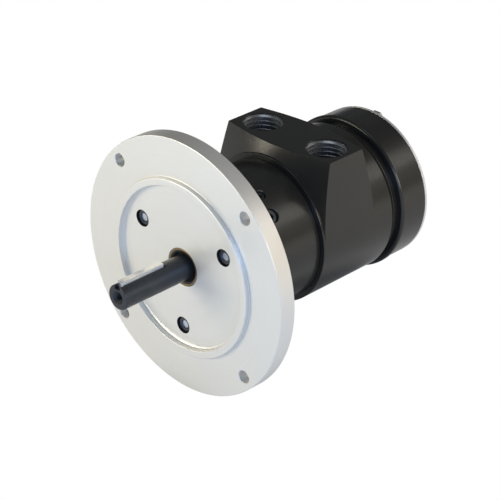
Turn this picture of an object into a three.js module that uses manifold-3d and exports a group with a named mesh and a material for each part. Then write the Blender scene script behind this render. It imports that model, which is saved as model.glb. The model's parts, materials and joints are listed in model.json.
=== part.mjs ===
// Hydraulic motor with a round face flange, two vertical ports and a gerotor set in its rear section.
// Units are millimetres and +Z is up. The shaft turns about the Y axis and points to -Y.
// The origin is on that axis, in the plane of the flange's outer annular face.

import * as THREE from "three";
import { mergeVertices } from "three/addons/utils/BufferGeometryUtils.js";
import Module from "manifold-3d";

const wasm = await Module();
wasm.setup();

// ---- Driving dimensions ----

const gap = 0.15; // between two fixed faces that meet
const running = 0.15; // radial and axial clearance of whatever turns
const cutOver = 1; // how far a cutter runs past the face it opens

// Face flange of the 56C size: outside 165.1, bolt circle 149.2, rabbet 114.3.
const flange = {
  radius: 82.55, thickness: 11.15, edge: 0.5,
  rabbetRadius: 57.15, rabbetHeight: 2.9, rabbetInner: 52.6,
  pocketY: 1, pocketFillet: 1.7, boreRadius: 12.3,
};
const boltHole = { circle: 74.61, radius: 4.1, count: 4, first: 45 };

// Cap screws and hexagon bolts of 6 mm thread.
const thread = { radius: 2.9, clearance: 3.2, tapped: 3.05, point: 0.8 };
const capHead = { radius: 4.9, height: 6, edge: 0.4, recess: 5.5, socketAcross: 5, socketDepth: 3 };
const hexHead = { across: 10, height: 6, washerRadius: 6, washerThickness: 1 };
const flangeScrew = { circle: 40, first: 30, headTop: 2.3, tip: 22, count: 3 };
const bodyScrew = { circle: 34, first: 90, headTop: 12.6, tip: 86, count: 3 };
const rearBolt = { circle: 41.5, first: 90, tip: 122, count: 3 };
const tapOver = 2; // how much deeper a tapped hole is than its screw

// Front housing, a plain cylinder with two radial plugs.
const hub = { radius: 45.4, rear: 72.2, edge: 0.6, cavityRadius: 20.5, cavityRear: 58, boreRadius: 14 };
const hubPlugs = [
  { name: "drain_plug", angle: 44, y: 43, radius: 4.75, socketAcross: 4, sink: 1.6, length: 9 },
  { name: "vent_plug", angle: 62.5, y: 45.5, radius: 3, socketAcross: 2.5, sink: 1.2, length: 8 },
];

// Port body: a cylinder with a flat-topped block whose end faces are tangent to it.
const body = {
  front: 72.35, radius: 48.75, shoulderRear: 134.6, taper: 3.4, rear: 138.4, rearRadius: 46.95,
  blockTop: 55.7, blockHalf: 42.8, blockY: 96, flareHalf: 22.1, cornerHalf: 14,
  boreRadius: 12.2, recessRadius: 17, recessRear: 80,
};
const port = {
  x: 26.75, mouthRadius: 13.3, mouthDepth: 1.8, threadRadius: 11.6, threadFloor: 30,
  drillRadius: 8, drillFloor: -3, passageRadius: 3.25, passageX: 22.2, passageZ: 4, sides: 28,
};

// Port plate, rotor housing and rear plate.
const plate = {
  front: 138.55, neckRadius: 46, shoulder: 142.3, edge: 2, radius: 50.8, rear: 145.72, boreRadius: 9.2,
  kidneyHalf: 58,
};
const ringSection = {
  front: 145.87, rear: 164.95, radius: 50.1, edge: 0.8, floor: 159.5, endPocket: 162.2, endPocketRadius: 8.9,
};
const rearPlate = { front: 165.1, rear: 166.9, radius: 50, edge: 0.4 };

// Gerotor set: six lobes inside seven, on axes one eccentricity apart.
const gerotor = {
  outerLobes: 7, lobeCircle: 24, lobeRadius: 6, eccentricity: 2.2, outerRadius: 29.5,
  front: 146.05, rear: 159.3, clearance: 0.3, steps: 16, sides: 56,
};

// Shaft, its steps from the output end to the rotor.
const shaftSteps = {
  tip: -50.3, endEdge: 0.8, outputRadius: 7.94, holeRadius: 3.2, holeDepth: 16, holeMouth: 4.25,
  seatFront: 12.6, seatRadius: 9.9, collarFront: 27.2, collarRear: 30, collarRadius: 12.6,
  middleRadius: 9.9, rearSeat: 126.6, rearSeatRadius: 8.4, rotorSeat: 137.6, rotorRadius: 7.9, end: 161.6,
};
const key = { width: 4.76, seatZ: 5.19, topZ: 9.95, front: -48, rear: -16, slotRear: -14.4 };
const rotorKey = { width: 3, inner: 5.6, outer: 9.4, front: 147.2, rear: 158.2 };

// Two deep-groove ball bearings.
const frontBearing = { name: "front_bearing", front: 13.2, width: 14, bore: 10, outer: 23.5, ball: 3.97,
  pitch: 16.75, balls: 8, land: 2.45 };
const rearBearing = { name: "rear_bearing", front: 126.9, width: 10, bore: 8.5, outer: 17.5, ball: 2.38,
  pitch: 13, balls: 9, land: 1.5 };
const trackGap = 0.25; // between a ball and its track
const cageGap = 0.6; // between the cage and each race
const housingClip = { front: 11.9, rear: 12.9, outer: 24.6, inner: 21.4, opening: 50, groove: 24.9 };

// Sealing pieces.
const bush = { front: 1.2, rear: 11, outer: 12.15, inner: 10.9 };
const shaftSeal = { front: 1.5, rear: 10.6, outer: 10.75, rim: 9.9, dish: 4.2, edge: 0.3, web: 2 };
const pressureSeal = { front: 73, rear: 79.5, outer: 16.85, wall: 3, web: 2 };
const sealRings = [
  { name: "front_joint_ring", circle: 23, section: 1.1, grooveFace: body.front, into: 1 },
  { name: "plate_joint_ring", circle: 31, section: 1.1, grooveFace: body.rear, into: -1 },
  { name: "housing_joint_ring", circle: 35, section: 1.1, grooveFace: plate.rear, into: -1 },
];
const grooveDepth = 2.3;
const dowel = { radius: 2, circle: 39.5, first: 30, front: 132, rear: 151 };

const fine = 48, medium = 24, coarse = 12; // sides of a turned piece

// ---- Materials ----

const finish = (color, roughness, metalness) =>
  new THREE.MeshStandardMaterial({ color, roughness, metalness });
const machinedAluminium = finish(0xd7d7d2, 0.35, 0.9);
const blackPaint = finish(0x1c1b1a, 0.35, 0.2);
const darkSteel = finish(0x2b2d30, 0.4, 0.8);
const brightSteel = finish(0xb9bbbd, 0.25, 1);
const screwSteel = finish(0x55585c, 0.3, 1);
const bronze = finish(0x9a7442, 0.35, 1);
const rubber = finish(0x17181a, 0.7, 0);

// ---- Solids ----

const radians = THREE.MathUtils.degToRad;
const onCircle = (radius, degrees) =>
  [radius * Math.cos(radians(degrees)), radius * Math.sin(radians(degrees))];

function solidOf(geometry) {
  const plain = geometry.clone();
  plain.deleteAttribute("normal");
  plain.deleteAttribute("uv");
  const merged = mergeVertices(plain, 1e-4);
  return new wasm.Manifold(new wasm.Mesh({
    numProp: 3,
    vertProperties: merged.attributes.position.array,
    triVerts: new Uint32Array(merged.index.array),
  }));
}

function geometryOf(solid) {
  const mesh = solid.getMesh();
  const geometry = new THREE.BufferGeometry();
  geometry.setAttribute("position", new THREE.BufferAttribute(mesh.vertProperties, 3));
  geometry.setIndex(new THREE.BufferAttribute(mesh.triVerts, 1));
  geometry.computeVertexNormals();
  return geometry;
}

// Turns a closed outline of [radius, y] points about the Y axis.
function turned(outline, sides = fine) {
  const points = outline.map(([r, y]) => new THREE.Vector2(r, y));
  const counterClockwise = THREE.ShapeUtils.area(points) > 0;
  if (!counterClockwise) points.reverse();
  points.push(points[0].clone());
  return solidOf(new THREE.LatheGeometry(points, sides));
}

const rod = (radius, front, rear, sides = coarse) =>
  turned([[0, front], [radius, front], [radius, rear], [0, rear]], sides);
const tube = (inner, outer, front, rear, sides = medium) =>
  turned([[inner, front], [outer, front], [outer, rear], [inner, rear]], sides);

// Extrudes a shape drawn in X and Z from one Y to another.
function extruded(shape, front, rear, curveSegments = 12) {
  const geometry = new THREE.ExtrudeGeometry(shape, {
    depth: rear - front, bevelEnabled: false, curveSegments,
  });
  geometry.rotateX(Math.PI / 2);
  geometry.translate(0, rear, 0);
  return solidOf(geometry);
}

// Outline points on an arc, for a turned outline.
const arc = (cr, cy, radius, from, to, steps) =>
  Array.from({ length: steps + 1 }, (_, i) => {
    const angle = radians(from + ((to - from) * i) / steps);
    return [cr + radius * Math.cos(angle), cy + radius * Math.sin(angle)];
  });

const hexShape = (across) => {
  const shape = new THREE.Shape();
  const corners = Array.from({ length: 6 }, (_, i) => onCircle(across / Math.sqrt(3), 60 * i));
  corners.forEach(([x, z], i) => (i ? shape.lineTo(x, z) : shape.moveTo(x, z)));
  shape.closePath();
  return shape;
};

const box = (width, depth, height, x, y, z) => {
  const geometry = new THREE.BoxGeometry(width, depth, height);
  geometry.translate(x, y, z);
  return solidOf(geometry);
};

// The [x, z] places of a ring of fasteners or holes.
const places = ({ circle, first, count }) =>
  Array.from({ length: count }, (_, i) => onCircle(circle, first + (360 / count) * i));

const dowelSpots = [onCircle(dowel.circle, dowel.first), onCircle(dowel.circle, 180 - dowel.first)];

// Cuts one cylinder along Y at each place.
const cutAt = (solid, spots, radius, front, rear, sides = coarse) =>
  spots.reduce((rest, [x, z]) => rest.subtract(rod(radius, front, rear, sides).translate([x, 0, z])), solid);

// ---- The object ----

const motor = new THREE.Group();
motor.name = "hydraulic_motor";

function add(name, solid, material, [x, z] = [0, 0]) {
  const mesh = new THREE.Mesh(geometryOf(solid), material);
  mesh.name = name;
  mesh.position.set(x, 0, z);
  motor.add(mesh);
}

// ---- Fasteners ----

function capScrew({ headTop, tip }) {
  const { radius, height, edge, socketAcross, socketDepth } = capHead;
  const seat = headTop + height;
  const outline = [
    [0, headTop], [radius - edge, headTop], [radius, headTop + edge], [radius, seat], [thread.radius, seat],
    [thread.radius, tip - thread.point], [thread.radius - thread.point, tip], [0, tip],
  ];
  const socket = extruded(hexShape(socketAcross), headTop - cutOver, headTop + socketDepth);
  return turned(outline, coarse).subtract(socket);
}

function hexBolt(headFront, tip) {
  const head = extruded(hexShape(hexHead.across), headFront, headFront + hexHead.height);
  const insideHead = headFront + hexHead.height / 2;
  const shank = turned([
    [0, insideHead], [thread.radius, insideHead], [thread.radius, tip + thread.point],
    [thread.radius - thread.point, tip], [0, tip],
  ], coarse);
  return head.add(shank);
}

function addScrews(name, group) {
  places(group).forEach((spot, i) => add(`${name}_${i + 1}`, capScrew(group), screwSteel, spot));
}

// ---- Mounting flange ----

function addFlange() {
  const { radius, thickness, edge, rabbetRadius, rabbetHeight, rabbetInner, pocketY, pocketFillet } = flange;
  const outline = [
    [flange.boreRadius, pocketY],
    ...arc(rabbetInner - pocketFillet, pocketY - pocketFillet, pocketFillet, 90, 0, 3),
    [rabbetInner, -rabbetHeight], [rabbetRadius - edge, -rabbetHeight],
    [rabbetRadius, edge - rabbetHeight], [rabbetRadius, 0],
    [radius - edge, 0], [radius, edge], [radius, thickness - edge], [radius - edge, thickness],
    [flange.boreRadius, thickness],
  ];
  const screws = places(flangeScrew);
  const head = flangeScrew.headTop + capHead.height + gap;
  let solid = turned(outline);
  solid = cutAt(solid, places(boltHole), boltHole.radius, -cutOver, thickness + cutOver, coarse);
  solid = cutAt(solid, screws, capHead.recess, -cutOver, head, coarse);
  solid = cutAt(solid, screws, thread.clearance, 0, thickness + cutOver);
  add("mounting_flange", solid, machinedAluminium);
  addScrews("flange_screw", flangeScrew);
}

// ---- Front housing ----

// A cylinder that points out along a radius of the motor at one angle and one Y.
function radial(solidAlongY, angle, y) {
  return solidAlongY.rotate([0, 0, -90]).rotate([0, -angle, 0]).translate([0, y, 0]);
}

function addFrontHousing() {
  const { radius, rear, edge, cavityRadius, cavityRear, boreRadius } = hub;
  const front = flange.thickness + gap;
  const seat = frontBearing.outer + gap;
  const shoulder = frontBearing.front + frontBearing.width + gap;
  const outline = [
    [housingClip.groove, front], [radius - edge, front], [radius, front + edge], [radius, rear],
    [boreRadius, rear], [boreRadius, cavityRear], [cavityRadius, cavityRear], [cavityRadius, shoulder],
    [seat, shoulder], [seat, housingClip.rear + gap], [housingClip.groove, housingClip.rear + gap],
  ];
  let solid = turned(outline);
  solid = cutAt(solid, places(flangeScrew), thread.tapped, 0, flangeScrew.tip + tapOver);
  const seatRear = bodyScrew.headTop + capHead.height + gap;
  solid = cutAt(solid, places(bodyScrew), capHead.recess, 0, seatRear, coarse);
  solid = cutAt(solid, places(bodyScrew), thread.clearance, 0, rear + cutOver);
  for (const plug of hubPlugs) {
    const hole = radial(rod(plug.radius, cavityRadius - cutOver, radius + cutOver), plug.angle, plug.y);
    solid = solid.subtract(hole);
  }
  add("front_housing", solid, blackPaint);
  addScrews("body_screw", bodyScrew);
}

function addHubPlugs() {
  for (const { name, angle, y, radius, socketAcross, sink, length } of hubPlugs) {
    const outer = hub.radius - sink;
    const pin = rod(radius - gap, outer - length, outer);
    const socket = extruded(hexShape(socketAcross), outer - length / 2, outer + cutOver);
    add(name, radial(pin.subtract(socket), angle, y), darkSteel);
  }
}

// ---- Port body ----

function portBlock() {
  const { radius, blockTop, blockHalf, blockY, flareHalf, cornerHalf } = body;
  const cornerRadius = Math.hypot(blockHalf, blockTop);
  const cornerAngle = Math.atan2(blockTop, blockHalf);
  const tangentAngle = THREE.MathUtils.radToDeg(cornerAngle - Math.acos(radius / cornerRadius));
  const [tangentX, tangentZ] = onCircle(radius, tangentAngle);
  const section = new THREE.Shape([
    new THREE.Vector2(tangentX, tangentZ), new THREE.Vector2(blockHalf, blockTop),
    new THREE.Vector2(-blockHalf, blockTop), new THREE.Vector2(-tangentX, tangentZ),
  ]);
  // Front and rear faces are two cones about the shaft axis, closing in towards the corners.
  const cones = turned([
    [0, blockY - flareHalf], [radius, blockY - flareHalf], [cornerRadius + 1, blockY - cornerHalf],
    [cornerRadius + 1, blockY + cornerHalf], [radius, blockY + flareHalf], [0, blockY + flareHalf],
  ]);
  return extruded(section, body.front, body.rear).intersect(cones);
}

// A vertical stepped hole: mouth, thread and drill, as one turned cutter.
function portCutter(x) {
  const { blockTop, blockY } = body;
  const { mouthRadius, mouthDepth, threadRadius, threadFloor, drillRadius, drillFloor } = port;
  const outline = [
    [0, drillFloor], [drillRadius, drillFloor], [drillRadius, threadFloor], [threadRadius, threadFloor],
    [threadRadius, blockTop - mouthDepth], [mouthRadius, blockTop], [mouthRadius, blockTop + cutOver],
    [0, blockTop + cutOver],
  ];
  return turned(outline, port.sides).rotate([90, 0, 0]).translate([x, blockY, 0]);
}

function addPortBody() {
  const { front, radius, shoulderRear, taper, rear, rearRadius, boreRadius, recessRadius, recessRear } = body;
  const seat = rearBearing.outer + gap;
  const step = rearBearing.front - gap;
  const outside = turned([
    [0, front], [radius, front], [radius, shoulderRear], [rearRadius, shoulderRear + taper],
    [rearRadius, rear], [0, rear],
  ]);
  const inside = turned([
    [0, front - cutOver], [recessRadius, front - cutOver], [recessRadius, recessRear],
    [boreRadius, recessRear], [boreRadius, step], [seat, step], [seat, rear + cutOver], [0, rear + cutOver],
  ], medium);
  let solid = outside.add(portBlock()).subtract(inside);
  for (const side of [-1, 1]) {
    solid = solid.subtract(portCutter(side * port.x));
    const passage = rod(port.passageRadius, body.blockY, rear + cutOver);
    solid = solid.subtract(passage.translate([side * port.passageX, 0, port.passageZ]));
  }
  solid = cutAt(solid, places(bodyScrew), thread.tapped, 0, bodyScrew.tip + tapOver);
  solid = cutAt(solid, places(rearBolt), thread.tapped, rearBolt.tip - tapOver, rear + cutOver);
  solid = cutAt(solid, dowelSpots, dowel.radius + gap, dowel.front - gap, rear + cutOver);
  add("port_body", cutGrooves(solid, body.front, body.rear), blackPaint);
}

// Ring grooves in the faces at the given Y values.
function cutGrooves(solid, ...faces) {
  const rings = sealRings.filter((ring) => faces.includes(ring.grooveFace));
  for (const { circle, section, grooveFace, into } of rings) {
    const inner = circle - section - gap;
    const outer = circle + section + gap;
    const floor = grooveFace + into * grooveDepth;
    const mouth = grooveFace - into * cutOver;
    solid = solid.subtract(tube(inner, outer, Math.min(floor, mouth), Math.max(floor, mouth)));
  }
  return solid;
}

function addSealRings() {
  for (const { name, circle, section, grooveFace, into } of sealRings) {
    const middle = grooveFace + into * (section + gap / 2);
    add(name, turned(arc(circle, middle, section, 0, 360, 6).slice(0, -1), medium), rubber);
  }
}

// ---- Rear section ----

// A curved slot about the shaft axis, open from one face of the port plate to the other.
function kidney(middle) {
  const inner = gerotor.lobeCircle - gerotor.lobeRadius - gerotor.eccentricity;
  const outer = gerotor.lobeCircle - gerotor.lobeRadius + 2 * gerotor.eccentricity;
  const start = radians(middle - plate.kidneyHalf);
  const end = radians(middle + plate.kidneyHalf);
  const shape = new THREE.Shape();
  shape.absarc(0, 0, outer, start, end, false);
  shape.absarc(0, 0, inner, end, start, true);
  shape.closePath();
  return extruded(shape, plate.front - cutOver, plate.rear + cutOver, 10);
}

function addPortPlate() {
  const { front, neckRadius, shoulder, edge, radius, rear, boreRadius } = plate;
  const outline = [
    [boreRadius, front], [neckRadius, front], [neckRadius, shoulder],
    ...arc(radius - edge, shoulder + edge, edge, -90, 0, 3),
    [radius, rear], [boreRadius, rear],
  ];
  let solid = turned(outline);
  for (const middle of [0, 180]) solid = solid.subtract(kidney(middle));
  solid = cutAt(solid, places(rearBolt), thread.clearance, front - cutOver, rear + cutOver);
  solid = cutAt(solid, dowelSpots, dowel.radius + gap, front - cutOver, rear + cutOver);
  add("port_plate", cutGrooves(solid, rear), blackPaint);
}

function addRotorHousing() {
  const { front, rear, radius, edge, floor, endPocket, endPocketRadius } = ringSection;
  let solid = turned([[0, front], [radius, front], [radius, rear - edge], [radius - edge, rear], [0, rear]]);
  const bore = rod(gerotor.outerRadius + running, front - cutOver, floor, gerotor.sides);
  solid = solid.subtract(bore.translate([0, 0, gerotor.eccentricity]));
  solid = solid.subtract(rod(endPocketRadius, floor - cutOver, endPocket, coarse));
  solid = cutAt(solid, places(rearBolt), thread.clearance, front - cutOver, rear + cutOver);
  solid = cutAt(solid, dowelSpots, dowel.radius + gap, front - cutOver, dowel.rear + gap);
  add("rotor_housing", solid, blackPaint);
}

function addRearPlate() {
  const { front, rear, radius, edge } = rearPlate;
  const disc = turned([[0, front], [radius, front], [radius, rear - edge], [radius - edge, rear], [0, rear]]);
  add("rear_plate", cutAt(disc, places(rearBolt), thread.clearance, front - cutOver, rear + cutOver),
    machinedAluminium);
}

function addRearBolts() {
  const washerFront = rearPlate.rear + gap;
  const headFront = washerFront + hexHead.washerThickness + gap;
  places(rearBolt).forEach((spot, i) => {
    const washer = tube(thread.clearance, hexHead.washerRadius, washerFront,
      washerFront + hexHead.washerThickness, coarse);
    add(`rear_washer_${i + 1}`, washer, brightSteel, spot);
    add(`rear_bolt_${i + 1}`, hexBolt(headFront, rearBolt.tip), brightSteel, spot);
  });
}

function addDowels() {
  dowelSpots.forEach((spot, i) =>
    add(`dowel_pin_${i + 1}`, rod(dowel.radius, dowel.front, dowel.rear, coarse), brightSteel, spot));
}

// ---- Gerotor ----

// Inner rotor outline: the curve that stays a fixed distance from all the outer lobes.
function innerRotorShape() {
  const { outerLobes, lobeCircle, lobeRadius, eccentricity, clearance, steps } = gerotor;
  const reach = lobeRadius + clearance;
  const count = steps * (outerLobes - 1);
  const points = Array.from({ length: count }, (_, i) => {
    const t = (2 * Math.PI * i) / count;
    const lean = Math.atan2(
      Math.sin((1 - outerLobes) * t),
      lobeCircle / (eccentricity * outerLobes) - Math.cos((1 - outerLobes) * t),
    );
    return new THREE.Vector2(
      lobeCircle * Math.cos(t) - reach * Math.cos(t + lean) - eccentricity * Math.cos(outerLobes * t),
      -lobeCircle * Math.sin(t) + reach * Math.sin(t + lean) + eccentricity * Math.sin(outerLobes * t),
    );
  });
  return new THREE.Shape(points);
}

// Outer rotor cavity: a circle with one round lobe bulging in at each place of the lobe circle.
function outerCavity() {
  const { outerLobes, lobeCircle, lobeRadius, eccentricity, clearance, front, rear, sides } = gerotor;
  const rootRadius = lobeCircle - lobeRadius + 2 * eccentricity + clearance;
  let cavity = rod(rootRadius, front - cutOver, rear + cutOver, sides);
  for (let i = 0; i < outerLobes; i++) {
    const [x, z] = onCircle(lobeCircle, (360 / outerLobes) * i);
    const lobe = rod(lobeRadius, front - 2 * cutOver, rear + 2 * cutOver, sides / 2);
    cavity = cavity.subtract(lobe.translate([x, 0, z]));
  }
  return cavity;
}

function addRotors() {
  const { eccentricity, outerRadius, front, rear, sides } = gerotor;
  const bore = rod(shaftSteps.rotorRadius + gap, front - cutOver, rear + cutOver, medium);
  const keySlot = box(rotorKey.width + 2 * gap, rear - front + 2 * cutOver, rotorKey.outer + gap,
    0, (front + rear) / 2, (rotorKey.outer + gap) / 2);
  // A quarter turn puts the full mesh at the bottom, so the ring's axis lies above the shaft's.
  const inner = extruded(innerRotorShape(), front, rear).rotate([0, 90, 0]);
  add("inner_rotor", inner.subtract(bore).subtract(keySlot), brightSteel);
  const ring = rod(outerRadius, front, rear, sides).subtract(outerCavity()).rotate([0, 90, 0]);
  add("outer_rotor", ring, darkSteel, [0, eccentricity]);
}

// ---- Shaft ----

function addShaft() {
  const s = shaftSteps;
  const holeFloor = s.tip + s.holeDepth;
  const outline = [
    [0, holeFloor], [s.holeRadius, holeFloor], [s.holeRadius, s.tip + s.holeMouth - s.holeRadius],
    [s.holeMouth, s.tip], [s.outputRadius - s.endEdge, s.tip], [s.outputRadius, s.tip + s.endEdge],
    [s.outputRadius, s.seatFront], [s.seatRadius, s.seatFront], [s.seatRadius, s.collarFront],
    [s.collarRadius, s.collarFront], [s.collarRadius, s.collarRear], [s.middleRadius, s.collarRear],
    [s.middleRadius, s.rearSeat], [s.rearSeatRadius, s.rearSeat], [s.rearSeatRadius, s.rotorSeat],
    [s.rotorRadius, s.rotorSeat], [s.rotorRadius, s.end - s.endEdge], [s.rotorRadius - s.endEdge, s.end],
    [0, s.end],
  ];
  const slotFront = s.tip - cutOver;
  const keySlot = box(key.width, key.slotRear - slotFront, s.outputRadius, 0, (key.slotRear + slotFront) / 2,
    key.seatZ + s.outputRadius / 2);
  const rotorSlot = box(rotorKey.width + 2 * gap, rotorKey.rear - rotorKey.front + 2 * gap, s.rotorRadius,
    0, (rotorKey.front + rotorKey.rear) / 2, rotorKey.inner - gap + s.rotorRadius / 2);
  add("shaft", turned(outline, medium).subtract(keySlot).subtract(rotorSlot), darkSteel);
}

function addKeys() {
  const keyBottom = key.seatZ + gap;
  add("shaft_key", box(key.width - 2 * gap, key.rear - key.front, key.topZ - keyBottom,
    0, (key.front + key.rear) / 2, (key.topZ + keyBottom) / 2), brightSteel);
  add("rotor_key", box(rotorKey.width, rotorKey.rear - rotorKey.front, rotorKey.outer - rotorKey.inner,
    0, (rotorKey.front + rotorKey.rear) / 2, (rotorKey.outer + rotorKey.inner) / 2), brightSteel);
}

// ---- Bearings ----

function addBearing({ name, front, width, bore, outer, ball, pitch, balls, land }) {
  const middle = front + width / 2;
  const rear = front + width;
  const track = ball + trackGap;
  const reach = THREE.MathUtils.radToDeg(Math.acos(land / track));
  add(`${name}_outer_race`, turned([[outer, front], [outer, rear], [pitch + land, rear],
    ...arc(pitch, middle, track, reach, -reach, 3), [pitch + land, front]], medium), brightSteel);
  add(`${name}_inner_race`, turned([[bore, front], [pitch - land, front],
    ...arc(pitch, middle, track, 180 + reach, 180 - reach, 3), [pitch - land, rear], [bore, rear]], medium),
  brightSteel);
  const cageHalf = land - cageGap;
  let cage = tube(pitch - cageHalf, pitch + cageHalf, middle - ball / 3, middle + ball / 3, medium);
  for (let i = 0; i < balls; i++) {
    const [x, z] = onCircle(pitch, (360 / balls) * i);
    cage = cage.add(solidOf(new THREE.SphereGeometry(ball, 8, 5)).translate([x, middle, z]));
  }
  add(`${name}_ball_set`, cage, brightSteel);
}

// ---- Seals and rings ----

function addSeals() {
  const lip = shaftSteps.outputRadius + running;
  add("seal_bush", tube(bush.inner, bush.outer, bush.front, bush.rear), bronze);
  const { front, rear, outer, rim, dish, edge, web } = shaftSeal;
  add("shaft_seal", turned([
    [lip, dish], [rim, front + edge], [rim + edge, front], [outer, front], [outer, rear], [rim, rear],
    [rim, dish + web], [lip, dish + web],
  ], medium), rubber);
  const innerLip = shaftSteps.middleRadius + running;
  const { front: face, rear: back, outer: outside, wall, web: floor } = pressureSeal;
  add("pressure_seal", turned([
    [innerLip, face], [outside, face], [outside, back], [outside - wall, back],
    [outside - wall, face + floor], [innerLip, face + floor],
  ], medium), rubber);
}

function addHousingClip() {
  const { front, rear, outer, inner, opening } = housingClip;
  const start = 90 + opening / 2;
  const shape = new THREE.Shape();
  shape.absarc(0, 0, outer, radians(start), radians(start + 360 - opening), false);
  shape.absarc(0, 0, inner, radians(start + 360 - opening), radians(start), true);
  shape.closePath();
  add("bearing_clip", extruded(shape, front, rear, 24), brightSteel);
}

addFlange();
addFrontHousing();
addHubPlugs();
addPortBody();
addPortPlate();
addRotorHousing();
addRearPlate();
addRearBolts();
addDowels();
addSealRings();
addSeals();
addHousingClip();
addBearing(frontBearing);
addBearing(rearBearing);
addShaft();
addKeys();
addRotors();

export default motor;
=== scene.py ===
"""Looks of the hydraulic motor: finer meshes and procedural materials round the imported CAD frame.

Outlines are in millimetres, as (radius, y) about the shaft axis, and become metres when a mesh is made.
"""

import json
import math
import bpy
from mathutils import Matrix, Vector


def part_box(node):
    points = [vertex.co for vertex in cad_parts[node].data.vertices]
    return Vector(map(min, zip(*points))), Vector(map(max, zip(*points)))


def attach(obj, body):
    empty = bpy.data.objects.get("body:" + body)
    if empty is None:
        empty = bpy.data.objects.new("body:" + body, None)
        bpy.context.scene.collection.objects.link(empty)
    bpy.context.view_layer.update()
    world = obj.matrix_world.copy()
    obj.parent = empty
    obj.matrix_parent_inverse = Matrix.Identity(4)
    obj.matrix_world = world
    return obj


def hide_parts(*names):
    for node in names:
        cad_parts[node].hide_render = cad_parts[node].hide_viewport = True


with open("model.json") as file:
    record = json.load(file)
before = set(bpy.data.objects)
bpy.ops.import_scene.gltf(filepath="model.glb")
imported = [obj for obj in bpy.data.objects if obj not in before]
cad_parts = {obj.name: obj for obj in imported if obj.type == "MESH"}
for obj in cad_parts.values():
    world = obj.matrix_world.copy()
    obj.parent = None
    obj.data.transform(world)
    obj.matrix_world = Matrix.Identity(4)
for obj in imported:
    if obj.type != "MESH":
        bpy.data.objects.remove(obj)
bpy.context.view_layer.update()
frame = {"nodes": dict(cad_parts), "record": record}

from types import SimpleNamespace

import bmesh
import bpy
from mathutils import Matrix, Vector

MM = 0.001

RECORD = frame["record"]
SLOT_OF = {part["node"]: part["material_slot"] for part in RECORD["subparts"]}
BODY_OF = {node: body for body, nodes in RECORD["behaviour"]["bodies"].items() for node in nodes}

FINE = 256  # sides of a large turned piece
MEDIUM = 96  # sides of a small one
SMALL = 48  # sides of a screw-sized cutter
OVER = 1.0  # how far a cutter runs past the face it opens
GAP = 0.15  # between two fixed pieces that meet
NEAR = 0.05  # slack when a face is picked by its place
CREASE = math.radians(28)  # edges sharper than this stay sharp
BEND = math.radians(30)  # edges sharper than this are bevelled
FLAT = math.radians(0.5)  # faces closer than this are joined before a bevel


# ---- Places read from the frame ----


def span(node):
    """Front, rear, radius and centre of a CAD node, in millimetres."""
    low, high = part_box(node)
    return SimpleNamespace(
        front=low.y / MM,
        rear=high.y / MM,
        radius=(high.x - low.x) / 2 / MM,
        x=(low.x + high.x) / 2 / MM,
        z=(low.z + high.z) / 2 / MM,
        bottom=low.z / MM,
        top=high.z / MM,
        width=(high.x - low.x) / MM,
    )


FLANGE = span("mounting_flange")
HUB = span("front_housing")
BODY = span("port_body")
PLATE = span("port_plate")
CAP = span("rotor_housing")
REAR = span("rear_plate")
SHAFT = span("shaft")
KEY = span("shaft_key")
BUSH = span("seal_bush")
SEAL = span("shaft_seal")

FLANGE_SCREWS = [span(f"flange_screw_{i}") for i in (1, 2, 3)]
BODY_SCREWS = [span(f"body_screw_{i}") for i in (1, 2, 3)]
REAR_BOLTS = [span(f"rear_bolt_{i}") for i in (1, 2, 3)]
WASHERS = [span(f"rear_washer_{i}") for i in (1, 2, 3)]
DOWELS = [span(f"dowel_pin_{i}") for i in (1, 2)]


# ---- Sizes that the frame's boxes do not hold ----

RABBET = SimpleNamespace(radius=57.15, height=2.9, inner=52.6, pocket=1.0, fillet=1.7)
BOLT_HOLES = SimpleNamespace(circle=74.61, radius=4.1, edge=0.35, angles=(45, 135, 225, 315))
CAP_HEAD = SimpleNamespace(radius=4.9, height=6.0, recess=5.5, socket=5.0, depth=1.8, point=0.8)
HEX_HEAD = SimpleNamespace(across=10.0, height=6.0)
SCREW = SimpleNamespace(radius=2.9, point=0.8)
HUB_RADIUS = 45.4
HUB_CAVITY = SimpleNamespace(groove=24.9, radius=20.5, rear=58.0, bore=14.0)
PLUGS = (
    SimpleNamespace(node="drain_plug", angle=44, y=43.0, radius=4.75, sink=1.6, length=9.0, socket=4.0),
    SimpleNamespace(node="vent_plug", angle=62.5, y=45.5, radius=3.0, sink=1.2, length=8.0, socket=2.5),
)
BARREL = SimpleNamespace(radius=48.75, shoulder=134.6, taper=3.4, rear_radius=46.95, edge=0.5)
BODY_BORE = 12.2
BLOCK = SimpleNamespace(half=42.8, middle=96.0, flare=22.1, corner=14.0, edge=0.7)
PORT = SimpleNamespace(x=26.75, mouth=13.3, minor=11.5, major=12.9, pitch=2.83, floor=30.0)
PORT_DRILL = SimpleNamespace(radius=8.0, floor=-3.0)
SHAFT_RADIUS = 7.94
KEYWAY = SimpleNamespace(width=4.76, floor=5.19, rear=-14.4, clear=12.0)
END_HOLE = SimpleNamespace(minor=2.75, major=3.2, mouth=4.25, depth=16.0, pitch=1.0)
SHAFT_STEPS = SimpleNamespace(seat=12.6, collar=27.2, collar_rear=30.0, rear_seat=126.6, rotor=137.6)
SHAFT_RADII = SimpleNamespace(seat=9.9, collar=12.6, rear_seat=8.4, rotor=7.9)
SEAL_DISH = SimpleNamespace(rim=9.9, lip=4.2, back=6.2)
PLATE_NECK = SimpleNamespace(radius=46.0, shoulder=142.3, edge=2.0, bore=9.2)
KIDNEY = SimpleNamespace(outer=22.4, inner=15.8, half=58.0, steps=24)
END_SPACE = SimpleNamespace(radius=8.9, floor=162.2)


def on_circle(radius, degrees):
    return radius * math.cos(math.radians(degrees)), radius * math.sin(math.radians(degrees))


# ---- Meshes ----


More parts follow.
